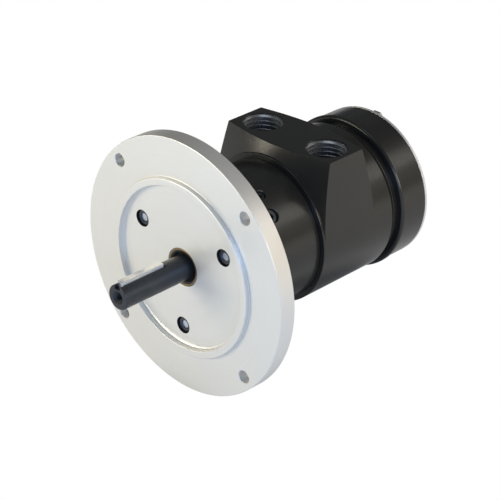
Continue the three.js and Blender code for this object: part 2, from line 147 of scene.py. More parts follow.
def new_object(name, vertices, faces):
    """An object with a closed mesh, given in millimetres, with its faces turned outwards."""
    mesh = bpy.data.meshes.new(name)
    mesh.from_pydata([[c * MM for c in v] for v in vertices], [], faces)
    work = bmesh.new()
    work.from_mesh(mesh)
    bmesh.ops.recalc_face_normals(work, faces=work.faces)
    work.to_mesh(mesh)
    work.free()
    made = bpy.data.objects.new(name, mesh)
    bpy.context.scene.collection.objects.link(made)
    return made


def moved(made, matrix):
    made.data.transform(matrix)
    return made


def shifted(made, x=0.0, y=0.0, z=0.0):
    """Moves a piece's mesh by a distance in millimetres."""
    return moved(made, Matrix.Translation((x * MM, y * MM, z * MM)))


def rounded(corners, steps=4):
    """A closed outline of (r, y) or (r, y, radius) corners, with an arc at each corner that has a radius."""
    outline = []
    for i, corner in enumerate(corners):
        here = Vector(corner[:2])
        if len(corner) < 3:
            outline.append(tuple(here))
            continue
        before = (Vector(corners[i - 1][:2]) - here).normalized()
        after = (Vector(corners[(i + 1) % len(corners)][:2]) - here).normalized()
        half = before.angle(after) / 2
        reach = corner[2] / math.tan(half)
        middle = here + (before + after).normalized() * reach / math.cos(half)
        start = here + before * reach - middle
        turn = start.angle_signed(here + after * reach - middle)
        for step in range(steps + 1):
            arm = Matrix.Rotation(-turn * step / steps, 2) @ start
            outline.append(tuple(middle + arm))
    return outline


def lathe(name, outline, sides=FINE):
    """Turns a closed (r, y) outline about the Y axis. A point on the axis becomes one vertex."""
    vertices = []
    rings = []
    for radius, y in outline:
        first = len(vertices)
        if radius < 1e-6:
            vertices.append((0, y, 0))
            rings.append([first] * sides)
            continue
        for i in range(sides):
            x, z = on_circle(radius, 360 * i / sides)
            vertices.append((x, y, z))
        rings.append(list(range(first, first + sides)))
    faces = []
    for ring, after in zip(rings, rings[1:] + rings[:1]):
        for i in range(sides):
            j = (i + 1) % sides
            face = list(dict.fromkeys([ring[i], ring[j], after[j], after[i]]))
            if len(face) > 2:
                faces.append(face)
    return new_object(name, vertices, faces)


def rod(radius, front, rear, x=0.0, z=0.0, sides=MEDIUM):
    """A plain cylinder along Y, used to cut holes."""
    outline = [(0, front), (radius, front), (radius, rear), (0, rear)]
    return shifted(lathe("cutter", outline, sides), x=x, z=z)


def prism(name, points, front, rear):
    """A polygon of (x, z) points, drawn out from one Y to another."""
    count = len(points)
    vertices = [(x, y, z) for y in (front, rear) for x, z in points]
    faces = [list(range(count)), list(range(count, 2 * count))]
    faces += [[i, (i + 1) % count, count + (i + 1) % count, count + i] for i in range(count)]
    return new_object(name, vertices, faces)


def hexagon(across):
    """The corners of a hexagon, from its size across the flats."""
    return [on_circle(across / math.sqrt(3), 60 * i) for i in range(6)]


def thread_cutter(minor, major, pitch, front, rear, sides=64):
    """A closed rod with a helical ridge outside, which leaves an internal thread where it cuts."""
    shape = ((0.0, minor), (0.16, minor), (0.5, major), (0.66, major))
    turns = math.ceil((rear - front) / pitch)
    rows = [(turn + phase, radius) for turn in range(turns) for phase, radius in shape]
    rows.append((turns, minor))
    work = bmesh.new()
    grid = []
    for along, radius in rows:
        line = []
        for i in range(sides + 1):
            x, z = on_circle(radius * MM, -360 * i / sides)
            line.append(work.verts.new((x, (front + (along + i / sides) * pitch) * MM, z)))
        grid.append(line)
    for line, after in zip(grid, grid[1:]):
        for i in range(sides):
            work.faces.new((line[i], line[i + 1], after[i + 1], after[i]))
    bmesh.ops.remove_doubles(work, verts=work.verts, dist=1e-6)
    open_edges = [edge for edge in work.edges if edge.is_boundary]
    middle = (front + turns * pitch / 2) * MM
    front_tip = work.verts.new((0, (front + pitch / 2) * MM, 0))
    rear_tip = work.verts.new((0, (front + (turns + 0.5) * pitch) * MM, 0))
    for edge in open_edges:
        tip = front_tip if edge.verts[0].co.y < middle else rear_tip
        work.faces.new((edge.verts[0], edge.verts[1], tip))
    bmesh.ops.recalc_face_normals(work, faces=work.faces)
    mesh = bpy.data.meshes.new("cutter")
    work.to_mesh(mesh)
    work.free()
    made = bpy.data.objects.new("cutter", mesh)
    bpy.context.scene.collection.objects.link(made)
    return made


def bake(target):
    """Applies a piece's modifiers to its mesh."""
    graph = bpy.context.evaluated_depsgraph_get()
    mesh = bpy.data.meshes.new_from_object(target.evaluated_get(graph))
    target.modifiers.clear()
    target.data = mesh


def combine(target, operation, *tools):
    """Cuts, joins or intersects a piece with tools, which are used up."""
    for tool in tools:
        step = target.modifiers.new("step", "BOOLEAN")
        step.operation = operation
        step.solver = "EXACT"
        step.object = tool
    bake(target)
    for tool in tools:
        bpy.data.objects.remove(tool)
    return target


def cut(target, *tools):
    return combine(target, "DIFFERENCE", *tools)


def bevelled(made, size, segments, wanted):
    """Rounds the edges that wanted(edge) picks."""
    work = bmesh.new()
    work.from_mesh(made.data)
    bmesh.ops.dissolve_limit(work, angle_limit=FLAT, verts=work.verts, edges=work.edges)
    edges = [edge for edge in work.edges if len(edge.link_faces) == 2 and wanted(edge)]
    bmesh.ops.bevel(
        work,
        geom=edges,
        offset=size * MM,
        segments=segments,
        profile=0.5,
        affect="EDGES",
        clamp_overlap=True,
    )
    work.to_mesh(made.data)
    work.free()
    return made


def sharp(edge):
    """Whether an edge turns enough to be bevelled."""
    return edge.calc_face_angle(0) > BEND


# ---- Materials ----


class Shader:
    """A node material with a principled shader and a few short ways to add nodes."""

    def __init__(self, name, **values):
        self.material = bpy.data.materials.new(name)
        self.material.use_nodes = True
        self.tree = self.material.node_tree
        self.main = self.tree.nodes["Principled BSDF"]
        for socket, value in values.items():
            self.main.inputs[socket.replace("_", " ")].default_value = value
        self.place = self.node("ShaderNodeTexCoord").outputs["Object"]

    def node(self, kind, **settings):
        made = self.tree.nodes.new(kind)
        for key, value in settings.items():
            setattr(made, key, value)
        return made

    def link(self, source, target):
        self.tree.links.new(source, target)

    def math(self, operation, *terms):
        made = self.node("ShaderNodeMath", operation=operation)
        for socket, term in zip(made.inputs, terms):
            if isinstance(term, (int, float)):
                socket.default_value = term
            else:
                self.link(term, socket)
        return made.outputs[0]

    def rings(self, scale_r, scale_y):
        """A vector that is the same all round the shaft axis, for marks left by turning."""
        parts = self.node("ShaderNodeSeparateXYZ")
        self.link(self.place, parts.inputs[0])
        across = self.math("POWER", parts.outputs[0], 2)
        square = self.math("ADD", across, self.math("POWER", parts.outputs[2], 2))
        joined = self.node("ShaderNodeCombineXYZ")
        self.link(self.math("MULTIPLY", self.math("SQRT", square), scale_r), joined.inputs[0])
        self.link(self.math("MULTIPLY", parts.outputs[1], scale_y), joined.inputs[1])
        return joined.outputs[0]

    def noise(self, vector, scale=1.0, detail=2.0, roughness=0.5):
        made = self.node("ShaderNodeTexNoise")
        self.link(vector, made.inputs["Vector"])
        made.inputs["Scale"].default_value = scale
        made.inputs["Detail"].default_value = detail
        made.inputs["Roughness"].default_value = roughness
        return made.outputs["Fac"]

    def spread(self, value, low, high):
        """Maps the middle of a noise's range to low..high."""
        made = self.node("ShaderNodeMapRange")
        self.link(value, made.inputs["Value"])
        made.inputs["From Min"].default_value = 0.3
        made.inputs["From Max"].default_value = 0.7
        made.inputs["To Min"].default_value = low
        made.inputs["To Max"].default_value = high
        return made.outputs["Result"]

    def blend(self, value, first, second):
        """A colour between two colours."""
        made = self.node("ShaderNodeMix", data_type="RGBA")
        self.link(value, made.inputs["Factor"])
        made.inputs[6].default_value = (*first, 1)
        made.inputs[7].default_value = (*second, 1)
        return made.outputs[2]

    def colour(self, source):
        self.link(source, self.main.inputs["Base Color"])

    def roughness(self, source):
        self.link(source, self.main.inputs["Roughness"])

    def bump(self, height, distance, strength=1.0):
        """Adds a bump, in metres, on top of the bumps that are already there."""
        made = self.node("ShaderNodeBump")
        made.inputs["Distance"].default_value = distance
        made.inputs["Strength"].default_value = strength
        self.link(height, made.inputs["Height"])
        normal = self.main.inputs["Normal"]
        if normal.links:
            self.link(normal.links[0].from_socket, made.inputs["Normal"])
        self.link(made.outputs[0], normal)


def machined_aluminium():
    """Face-turned aluminium: fine rings round the axis, with slow changes of sheen."""
    look = Shader("machined_aluminium", Metallic=0.6, IOR=1.45)
    fine_rings = look.noise(look.rings(2600, 2600), detail=3)
    wide_rings = look.noise(look.rings(420, 420), detail=2)
    patches = look.noise(look.place, scale=35, detail=3)
    look.colour(look.blend(look.spread(wide_rings, 0, 1), (0.765, 0.765, 0.75), (0.78, 0.78, 0.765)))
    sheen = look.math("ADD", look.spread(fine_rings, 0.4, 0.43), look.spread(patches, -0.01, 0.01))
    look.roughness(sheen)
    look.bump(fine_rings, 0.000008, 0.16)
    return look.material


def black_paint():
    """Semi-gloss black paint over turned metal, with a faint orange peel."""
    look = Shader("black_paint", Metallic=0.0, IOR=1.5)
    dust = look.noise(look.place, scale=240, detail=4, roughness=0.65)
    patches = look.noise(look.place, scale=28, detail=2)
    look.colour(look.blend(look.spread(patches, 0, 1), (0.0145, 0.0148, 0.0145), (0.0185, 0.0187, 0.018)))
    look.roughness(look.math("ADD", look.spread(dust, 0.2, 0.26), look.spread(patches, -0.02, 0.03)))
    look.bump(look.noise(look.place, scale=950, detail=1), 0.00002, 0.35)
    look.bump(look.noise(look.rings(900, 900), detail=1), 0.00001, 0.3)
    return look.material


def steel(name, dark, light, low, high, metallic=0.9):
    """Ground steel: short fine scratches round the axis and a changing sheen."""
    look = Shader(name, Metallic=metallic, IOR=1.5)
    scratches = look.noise(look.rings(2200, 2200), detail=3)
    patches = look.noise(look.place, scale=90, detail=3)
    look.colour(look.blend(look.spread(patches, 0, 1), dark, light))
    look.roughness(look.spread(scratches, low, high))
    look.bump(scratches, 0.000006, 0.3)
    return look.material


def bronze():
    """Sintered bronze: tiny pores and turned rings."""
    look = Shader("bronze", Metallic=1.0)
    pores = look.noise(look.place, scale=1600, detail=4, roughness=0.7)
    look.colour(look.blend(look.spread(pores, 0, 1), (0.2, 0.15, 0.085), (0.36, 0.27, 0.16)))
    look.roughness(look.spread(pores, 0.3, 0.42))
    look.bump(pores, 0.00003, 0.4)
    return look.material


def rubber():
    """Moulded rubber with a dull skin."""
    look = Shader("rubber", Metallic=0.0, IOR=1.5)
    skin = look.noise(look.place, scale=1400, detail=3)
    look.colour(look.blend(look.spread(skin, 0, 1), (0.012, 0.012, 0.013), (0.022, 0.022, 0.024)))
    look.roughness(look.spread(skin, 0.42, 0.55))
    look.bump(skin, 0.00003, 0.3)
    return look.material


MATERIALS = {
    "machined_aluminium": machined_aluminium(),
    "black_paint": black_paint(),
    "dark_steel": steel("dark_steel", (0.034, 0.038, 0.046), (0.045, 0.049, 0.058), 0.3, 0.38, metallic=0.5),
    "bright_steel": steel("bright_steel", (0.6, 0.61, 0.63), (0.7, 0.71, 0.73), 0.16, 0.26),
    "screw_steel": steel("screw_steel", (0.055, 0.06, 0.075), (0.085, 0.092, 0.11), 0.2, 0.3, metallic=0.7),
    "bronze": bronze(),
    "rubber": rubber(),
}
# A bright bluish steel for the floor of each screw socket: a painted highlight.
SOCKET_PAINTED_HIGHLIGHT = steel("socket_painted_highlight", (0.6, 0.66, 0.76), (0.72, 0.78, 0.88), 0.25, 0.35)
# A dark steel for the counterbore walls of the flange: painted shade in the recesses.
PAINTED_RECESS_SHADE = steel("recess", (0.02, 0.02, 0.022), (0.035, 0.035, 0.038), 0.4, 0.5, metallic=0.3)
BARE_THREAD = steel("bare_thread", (0.34, 0.36, 0.39), (0.46, 0.48, 0.51), 0.2, 0.3)


def stand_in(made, node):
    """Shades a finished mesh, gives it the material of the node's slot, and lets it stand for a CAD node on
    that node's body.
    """
    made.name = node + "_fine"
    mesh = made.data
    mesh.name = made.name
    mesh.materials.clear()
    mesh.materials.append(MATERIALS[SLOT_OF[node]])
    mesh.shade_smooth()
    mesh.set_sharp_from_angle(angle=CREASE)
    weighted = made.modifiers.new("weighted", "WEIGHTED_NORMAL")
    weighted.keep_sharp = True
    weighted.mode = "FACE_AREA_WITH_ANGLE"
    bake(made)
    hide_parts(node)
    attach(made, BODY_OF[node])


def repaint(mesh, material, chosen):
    """Gives a second material to the faces whose middle, in millimetres, is chosen."""
    mesh.materials.append(material)
    for face in mesh.polygons:
        if chosen(face.center / MM):
            face.material_index = 1


# ---- Flange and its screws ----


def edged_hole(radius, edge, rear):
    """A cutter for a through hole from Y = 0, with its front rim broken."""
    end = rear + OVER
    outline = [(0, -edge), (radius + 2 * edge, -edge), (radius, edge), (radius, end), (0, end)]
    return lathe("cutter", outline, MEDIUM)


def make_flange():
    """The disc with its rabbet ring and pocket, four bolt holes and three counterbored screw holes."""
    bore = BUSH.radius + GAP
    outline = rounded([
        (bore, RABBET.pocket, 0.3),
        (RABBET.inner, RABBET.pocket, RABBET.fillet),
        (RABBET.inner, -RABBET.height, 0.25),
        (RABBET.radius, -RABBET.height, 0.6),
        (RABBET.radius, 0, 0.5),
        (FLANGE.radius, 0, 0.5),
        (FLANGE.radius, FLANGE.rear, 0.5),
        (bore, FLANGE.rear),
    ])
    disc = lathe("flange", outline)
    tools = []
    for angle in BOLT_HOLES.angles:
        x, z = on_circle(BOLT_HOLES.circle, angle)
        tools.append(shifted(edged_hole(BOLT_HOLES.radius, BOLT_HOLES.edge, FLANGE.rear), x=x, z=z))
    for screw in FLANGE_SCREWS:
        seat = screw.front + CAP_HEAD.height + GAP
        tools.append(rod(CAP_HEAD.recess, -OVER, seat, screw.x, screw.z))
        tools.append(rod(SCREW.radius + GAP, 0, FLANGE.rear + OVER, screw.x, screw.z))
    made = cut(disc, *tools)
    stand_in(made, "mounting_flange")

    def in_counterbore(middle):
        reach = min(math.hypot(middle.x - screw.x, middle.z - screw.z) for screw in FLANGE_SCREWS)
        return reach < CAP_HEAD.recess + NEAR and RABBET.pocket + NEAR < middle.y < seat + NEAR

    # The counterbore walls are darkened with painted shade.
    repaint(made.data, PAINTED_RECESS_SHADE, in_counterbore)


def make_cap_screw(screw, node):
    """A socket head cap screw with a rounded rim and a hexagon socket that ends in a drill point."""
    seat = screw.front + CAP_HEAD.height
    floor = screw.front + CAP_HEAD.depth
    outline = rounded([
        (0, screw.front),
        (CAP_HEAD.radius, screw.front, 0.5),
        (CAP_HEAD.radius, seat, 0.2),
        (SCREW.radius, seat),
        (SCREW.radius, screw.rear - SCREW.point),
        (SCREW.radius - SCREW.point, screw.rear),
        (0, screw.rear),
    ])
    made = lathe("screw", outline, MEDIUM)
    inside = CAP_HEAD.socket / math.sqrt(3)
    mouth = lathe("cutter", [
        (0, screw.front - OVER),
        (inside + OVER, screw.front - OVER),
        (0, screw.front + inside),
    ], SMALL)
    point = lathe("cutter", [
        (0, floor - OVER),
        (CAP_HEAD.socket / 2, floor - OVER),
        (CAP_HEAD.socket / 2, floor),
        (0, floor + CAP_HEAD.point),
    ], SMALL)
    socket = prism("cutter", hexagon(CAP_HEAD.socket), screw.front - OVER, floor)
    made = cut(made, mouth, socket, point)
    stand_in(shifted(made, x=screw.x, z=screw.z), node)

    def in_socket(middle):
        reach = math.hypot(middle.x - screw.x, middle.z - screw.z)
        return reach < 0.46 * CAP_HEAD.socket and middle.y < floor + CAP_HEAD.point + 0.1

    # The socket floor is lit up with a painted highlight.
    repaint(made.data, SOCKET_PAINTED_HIGHLIGHT, in_socket)


# ---- Front housing and its plugs ----


def radial(made, angle, y):
    """Turns a piece made along Y to point out along a radius of the motor."""
    x, z = on_circle(1, angle)
    turn = Vector((0, 1, 0)).rotation_difference(Vector((x, 0, z))).to_matrix().to_4x4()
    return shifted(moved(made, turn), y=y)


def make_hub():
    """A plain cylinder outside. Inside are the clip's groove, the bearing's seat and the oil space."""
    seat = span("front_bearing_outer_race")
    clip = span("bearing_clip")
    outline = rounded([
        (HUB_CAVITY.groove, HUB.front),
        (HUB_RADIUS, HUB.front, 0.6),
        (HUB_RADIUS, HUB.rear, 0.4),
        (HUB_CAVITY.bore, HUB.rear),
        (HUB_CAVITY.bore, HUB_CAVITY.rear),
        (HUB_CAVITY.radius, HUB_CAVITY.rear),
        (HUB_CAVITY.radius, seat.rear + GAP),
        (seat.radius + GAP, seat.rear + GAP),
        (seat.radius + GAP, clip.rear + GAP),
        (HUB_CAVITY.groove, clip.rear + GAP),
    ])
    made = lathe("hub", outline)
    tools = []
    for screw in BODY_SCREWS:
        head = screw.front + CAP_HEAD.height + GAP
        tools.append(rod(CAP_HEAD.recess, 0, head, screw.x, screw.z, SMALL))
        tools.append(rod(SCREW.radius + GAP, 0, HUB.rear + OVER, screw.x, screw.z, SMALL))
    for screw in FLANGE_SCREWS:
        tools.append(rod(SCREW.radius + GAP, 0, screw.rear + 2 * OVER, screw.x, screw.z, SMALL))
    for plug in PLUGS:
        mouth = [
            (0, HUB_CAVITY.radius - 1.5),
            (plug.radius, HUB_CAVITY.radius - 1.5),
            (plug.radius, HUB_RADIUS - 0.5),
            (plug.radius + 1.5, HUB_RADIUS + OVER),
            (0, HUB_RADIUS + OVER),
        ]
        tools.append(radial(lathe("cutter", mouth, MEDIUM), plug.angle, plug.y))
    stand_in(cut(made, *tools), "front_housing")


def make_plug(plug):
    """A socket plug, sunk in its hole, with a chamfered rim."""
    top = HUB_RADIUS - plug.sink
    bottom = top - plug.length
    radius = plug.radius - GAP
    outline = rounded([(0, bottom), (radius, bottom, 0.3), (radius, top, 0.45), (0, top)])
    made = lathe("plug", outline, MEDIUM)
    inside = plug.socket / math.sqrt(3)
    mouth = lathe("cutter", [(0, top + OVER), (inside + OVER, top + OVER), (0, top - inside)], SMALL)
    socket = prism("cutter", hexagon(plug.socket), top - plug.length / 2, top + OVER)
    made = cut(made, mouth, socket)
    stand_in(radial(made, plug.angle, plug.y), plug.node)


# ---- Port body ----


def port_block():
    """The block on top: end faces tangent to the barrel, front and rear faces on cones about the axis."""
    corner = math.hypot(BLOCK.half, BODY.top)
    angle = math.degrees(math.atan2(BODY.top, BLOCK.half) - math.acos(BARREL.radius / corner))
    x, z = on_circle(BARREL.radius, angle)
    section = [(x, z), (BLOCK.half, BODY.top), (-BLOCK.half, BODY.top), (-x, z)]
    block = prism("block", section, BODY.front + OVER, BODY.rear - OVER)
    cones = lathe("cutter", [
        (0, BLOCK.middle - BLOCK.flare),
        (BARREL.radius, BLOCK.middle - BLOCK.flare),
        (corner + OVER, BLOCK.middle - BLOCK.corner),
        (corner + OVER, BLOCK.middle + BLOCK.corner),
        (BARREL.radius, BLOCK.middle + BLOCK.flare),
        (0, BLOCK.middle + BLOCK.flare),
    ])
    return combine(block, "INTERSECT", cones)


def port_cutters(x):
    """The threaded hole with its countersunk mouth, and the drilled hole below it."""
    down = Matrix.Rotation(math.radians(-90), 4, "X")
    depth = BODY.top - PORT.floor
    drilled = BODY.top - PORT_DRILL.floor
    sunk = PORT.mouth - PORT.minor
    thread = thread_cutter(PORT.minor, PORT.major, PORT.pitch, -0.9 * PORT.pitch, depth, sides=96)
    mouth = lathe("cutter", [
        (0, -OVER),
        (PORT.mouth + OVER, -OVER),
        (PORT.mouth, 0),
        (PORT.minor, sunk),
        (0, sunk),
    ], MEDIUM)
    drill = lathe("cutter", [
        (0, OVER),
        (PORT_DRILL.radius, OVER),
        (PORT_DRILL.radius, drilled),
        (0, drilled + PORT_DRILL.radius / 2),
    ], MEDIUM)
    return [shifted(moved(tool, down), x=x, y=BLOCK.middle, z=BODY.top) for tool in (thread, mouth, drill)]


def make_port_body():
    """The barrel, joined to the port block, with its bore and every hole."""
    seat = span("rear_bearing_outer_race")
    seal = span("pressure_seal")
    outline = rounded([
        (BODY_BORE, seal.rear + 0.5),
        (seal.radius + GAP, seal.rear + 0.5),
        (seal.radius + GAP, BODY.front),
        (BARREL.radius, BODY.front, BARREL.edge),
        (BARREL.radius, BARREL.shoulder, 0.25),
        (BARREL.rear_radius, BARREL.shoulder + BARREL.taper, 0.2),
        (BARREL.rear_radius, BODY.rear),
        (seat.radius + GAP, BODY.rear),
        (seat.radius + GAP, seat.front - GAP),
        (BODY_BORE, seat.front - GAP),
    ])
    barrel = lathe("port_body", outline)
    made = combine(barrel, "UNION", port_block_without_core())

    def on_block(edge):
        first, second = (vertex.co / MM for vertex in edge.verts)
        lowest = min(first.z, second.z)
        nearest = min(math.hypot(v.x, v.z) for v in (first, second))
        return lowest > 12 and nearest > BARREL.radius + 0.2 and sharp(edge)

    made = bevelled(made, BLOCK.edge, 3, on_block)
    tools = port_cutters(-PORT.x) + port_cutters(PORT.x)
    for bolt in REAR_BOLTS:
        tools.append(rod(SCREW.radius + GAP, bolt.front - 2 * OVER, BODY.rear + OVER, bolt.x, bolt.z, SMALL))
    for screw in BODY_SCREWS:
        end = screw.rear + 2 * OVER
        tools.append(rod(SCREW.radius + GAP, BODY.front - OVER, end, screw.x, screw.z, SMALL))
    for pin in DOWELS:
        tools.append(rod(pin.radius + GAP, pin.front - GAP, BODY.rear + OVER, pin.x, pin.z, SMALL))
    made = cut(made, *tools)
    stand_in(made, "port_body")

    def in_port(middle):
        reach = math.hypot(abs(middle.x) - PORT.x, middle.y - BLOCK.middle)
        return reach < PORT.major + 0.02 and middle.z < BODY.top - 0.5 * (PORT.mouth - PORT.minor)

    repaint(made.data, BARE_THREAD, in_port)


def port_block_without_core():
    """The block, hollowed so that it does not fill the body's shaft space."""
    return cut(port_block(), rod(BARREL.radius - 6, BODY.front - OVER, BODY.rear + OVER, sides=FINE))


# ---- Rear section ----


def bolt_cutters(front, rear, reach=GAP):
    """Clearance holes for the three rear bolts."""
    radius = SCREW.radius + reach
    return [rod(radius, front - OVER, rear + OVER, bolt.x, bolt.z, SMALL) for bolt in REAR_BOLTS]


def pin_cutters(front, rear):
    """Holes for the two dowel pins."""
    return [rod(pin.radius + GAP, front, rear, pin.x, pin.z, SMALL) for pin in DOWELS]


def make_port_plate():
    """The neck, the rounded front edge and the kidney slots that lead oil to the rotors."""
    outline = rounded([
        (PLATE_NECK.bore, PLATE.front),
        (PLATE_NECK.radius, PLATE.front),
        (PLATE_NECK.radius, PLATE_NECK.shoulder),
        (PLATE.radius, PLATE_NECK.shoulder, PLATE_NECK.edge),
        (PLATE.radius, PLATE.rear, 0.22),
        (PLATE_NECK.bore, PLATE.rear),
    ], steps=7)
    made = lathe("port_plate", outline)
    tools = bolt_cutters(PLATE.front, PLATE.rear) + pin_cutters(PLATE.front - OVER, PLATE.rear + OVER)
    for middle in (0, 180):
        turns = [KIDNEY.half * (2 * i / KIDNEY.steps - 1) for i in range(KIDNEY.steps + 1)]
        slot = [on_circle(KIDNEY.outer, middle + turn) for turn in turns]
        slot += [on_circle(KIDNEY.inner, middle - turn) for turn in turns]
        tools.append(prism("cutter", slot, PLATE.front - OVER, PLATE.rear + OVER))
    stand_in(cut(made, *tools), "port_plate")


def make_rotor_housing():
    """The rear cap: its round pocket is set off the shaft axis, as the outer rotor is."""
    ring = span("outer_rotor")
    outline = rounded([
        (0, CAP.front),
        (CAP.radius, CAP.front, 0.22),
        (CAP.radius, CAP.rear, 0.8),
        (0, CAP.rear),
    ])
    made = lathe("rotor_housing", outline)
    pocket = rod(ring.radius + GAP, CAP.front - OVER, ring.rear + 0.2, ring.x, ring.z, FINE)
    end_space = rod(END_SPACE.radius, CAP.front, END_SPACE.floor)
    tools = bolt_cutters(CAP.front, CAP.rear) + pin_cutters(CAP.front - OVER, DOWELS[0].rear + GAP)
    stand_in(cut(made, pocket, end_space, *tools), "rotor_housing")


def make_rear_plate():
    """The thin bright plate at the back."""
    outline = rounded([
        (0, REAR.front),
        (REAR.radius, REAR.front, 0.2),
        (REAR.radius, REAR.rear, 0.35),
        (0, REAR.rear),
    ])
    made = lathe("rear_plate", outline)
    stand_in(cut(made, *bolt_cutters(REAR.front, REAR.rear, 2 * GAP)), "rear_plate")


def make_washer(washer, node):
    """A flat washer with broken edges."""
    hole = SCREW.radius + 2 * GAP
    outline = rounded([
        (hole, washer.front, 0.15),
        (washer.radius, washer.front, 0.3),
        (washer.radius, washer.rear, 0.3),
        (hole, washer.rear, 0.15),
    ])
    made = lathe("washer", outline, MEDIUM)
    stand_in(shifted(made, x=washer.x, z=washer.z), node)


def make_hex_bolt(bolt, node):
    """A hexagon head with its corners turned down to a cone, on a plain shank."""
    under = bolt.rear - HEX_HEAD.height
    corner = HEX_HEAD.across / math.sqrt(3)
    flat = HEX_HEAD.across / 2
    head = prism("head", hexagon(HEX_HEAD.across), under, bolt.rear)
    crown = lathe("cutter", rounded([
        (0, under),
        (flat, under),
        (corner, under + 0.3),
        (corner, bolt.rear - (corner - flat) * 0.6),
        (flat * 0.93, bolt.rear),
        (0, bolt.rear),
    ]), MEDIUM)
    head = combine(head, "INTERSECT", crown)
    shank = lathe("shank", [
        (0, bolt.front),
        (SCREW.radius - SCREW.point, bolt.front),
        (SCREW.radius, bolt.front + SCREW.point),
        (SCREW.radius, under + 1),
        (0, under + 1),
    ], MEDIUM)
    made = combine(head, "UNION", shank)
    stand_in(shifted(made, x=bolt.x, z=bolt.z), node)


# ---- Shaft, key and seal ----


def slot_cutter(half, floor, front, rear):
    """A cutter for a slot along the shaft's top."""
    section = [(-half, floor), (half, floor), (half, KEYWAY.clear), (-half, KEYWAY.clear)]
    return prism("cutter", section, front, rear)


def make_shaft():
    """The output end, with its keyway and threaded hole, and the steps for the bearings and the rotor."""
    outline = rounded([
        (0, SHAFT.front),
        (SHAFT_RADIUS, SHAFT.front, 0.9),
        (SHAFT_RADIUS, SHAFT_STEPS.seat),
        (SHAFT_RADII.seat, SHAFT_STEPS.seat),
        (SHAFT_RADII.seat, SHAFT_STEPS.collar),
        (SHAFT_RADII.collar, SHAFT_STEPS.collar, 0.4),
        (SHAFT_RADII.collar, SHAFT_STEPS.collar_rear, 0.4),
        (SHAFT_RADII.seat, SHAFT_STEPS.collar_rear),
        (SHAFT_RADII.seat, SHAFT_STEPS.rear_seat),
        (SHAFT_RADII.rear_seat, SHAFT_STEPS.rear_seat),
        (SHAFT_RADII.rear_seat, SHAFT_STEPS.rotor),
        (SHAFT_RADII.rotor, SHAFT_STEPS.rotor),
        (SHAFT_RADII.rotor, SHAFT.rear, 0.8),
        (0, SHAFT.rear),
    ])
    made = lathe("shaft", outline, 128)
    start = SHAFT.front - OVER
    end = SHAFT.front + END_HOLE.depth
    hole = thread_cutter(END_HOLE.minor, END_HOLE.major, END_HOLE.pitch, start, end, sides=32)
    mouth = lathe("cutter", [
        (0, SHAFT.front - OVER),
        (END_HOLE.mouth + OVER, SHAFT.front - OVER),
        (END_HOLE.minor, SHAFT.front + END_HOLE.mouth - END_HOLE.minor),
        (0, SHAFT.front + END_HOLE.mouth - END_HOLE.minor),
    ], 64)
    half = KEYWAY.width / 2
    keyway = slot_cutter(half, KEYWAY.floor, SHAFT.front - OVER, KEYWAY.rear)
    rotor_key = span("rotor_key")
    side = rotor_key.width / 2 + GAP
    floor = rotor_key.bottom - GAP
    rotor_slot = slot_cutter(side, floor, rotor_key.front - GAP, rotor_key.rear + GAP)
    stand_in(cut(made, mouth, hole, keyway, rotor_slot), "shaft")


def make_key():
    """A square-ended key with its long edges broken."""
    half = KEY.width / 2
    section = [(-half, KEY.bottom), (half, KEY.bottom), (half, KEY.top), (-half, KEY.top)]
    made = prism("key", section, KEY.front, KEY.rear)
    stand_in(bevelled(made, 0.35, 3, sharp), "shaft_key")


def make_bush():
    """The bronze ring round the seal."""
    outline = rounded([
        (SEAL.radius + GAP, BUSH.front, 0.15),
        (BUSH.radius, BUSH.front, 0.25),
        (BUSH.radius, BUSH.rear),
        (SEAL.radius + GAP, BUSH.rear),
    ])
    stand_in(lathe("bush", outline, MEDIUM), "seal_bush")


def make_seal():
    """The seal's rim, with a dished web down to a lip at the shaft."""
    lip = SHAFT_RADIUS + GAP
    outline = rounded([
        (lip, SEAL_DISH.lip),
        (lip + 0.5, SEAL_DISH.lip - 0.2),
        (SEAL_DISH.rim, SEAL.front + 0.3),
        (SEAL.radius, SEAL.front, 0.25),
        (SEAL.radius, SEAL.rear),
        (SEAL_DISH.rim, SEAL.rear),
        (SEAL_DISH.rim, SEAL_DISH.back),
        (lip, SEAL_DISH.back),
    ])
    stand_in(lathe("seal", outline, MEDIUM), "shaft_seal")


# ---- All pieces ----

make_flange()
for number, spot in enumerate(FLANGE_SCREWS, 1):
    make_cap_screw(spot, f"flange_screw_{number}")
make_hub()
for item in PLUGS:
    make_plug(item)
make_port_body()
make_port_plate()
make_rotor_housing()
make_rear_plate()
for number, (ring, bolt) in enumerate(zip(WASHERS, REAR_BOLTS), 1):
    make_washer(ring, f"rear_washer_{number}")
    make_hex_bolt(bolt, f"rear_bolt_{number}")
make_shaft()
make_key()
make_bush()
make_seal()

for node, cad in frame["nodes"].items():
    if not cad.hide_render:
        cad.data.materials.clear()
        cad.data.materials.append(MATERIALS[SLOT_OF[node]])


# ---- Floor, world and lights ----


def camera_sees_white(tree, shader, output):
    """Leaves a shader to light and reflections, and shows the camera plain white in its place."""
    on_material = output.bl_idname.endswith("Material")
    white = tree.nodes.new("ShaderNodeEmission" if on_material else "ShaderNodeBackground")
    white.inputs["Color"].default_value = (1, 1, 1, 1)
    path = tree.nodes.new("ShaderNodeLightPath")
    mixed = tree.nodes.new("ShaderNodeMixShader")
    tree.links.new(path.outputs["Is Camera Ray"], mixed.inputs[0])
    tree.links.new(shader.outputs[0], mixed.inputs[1])
    tree.links.new(white.outputs[0], mixed.inputs[2])
    tree.links.new(mixed.outputs[0], output.inputs[0])


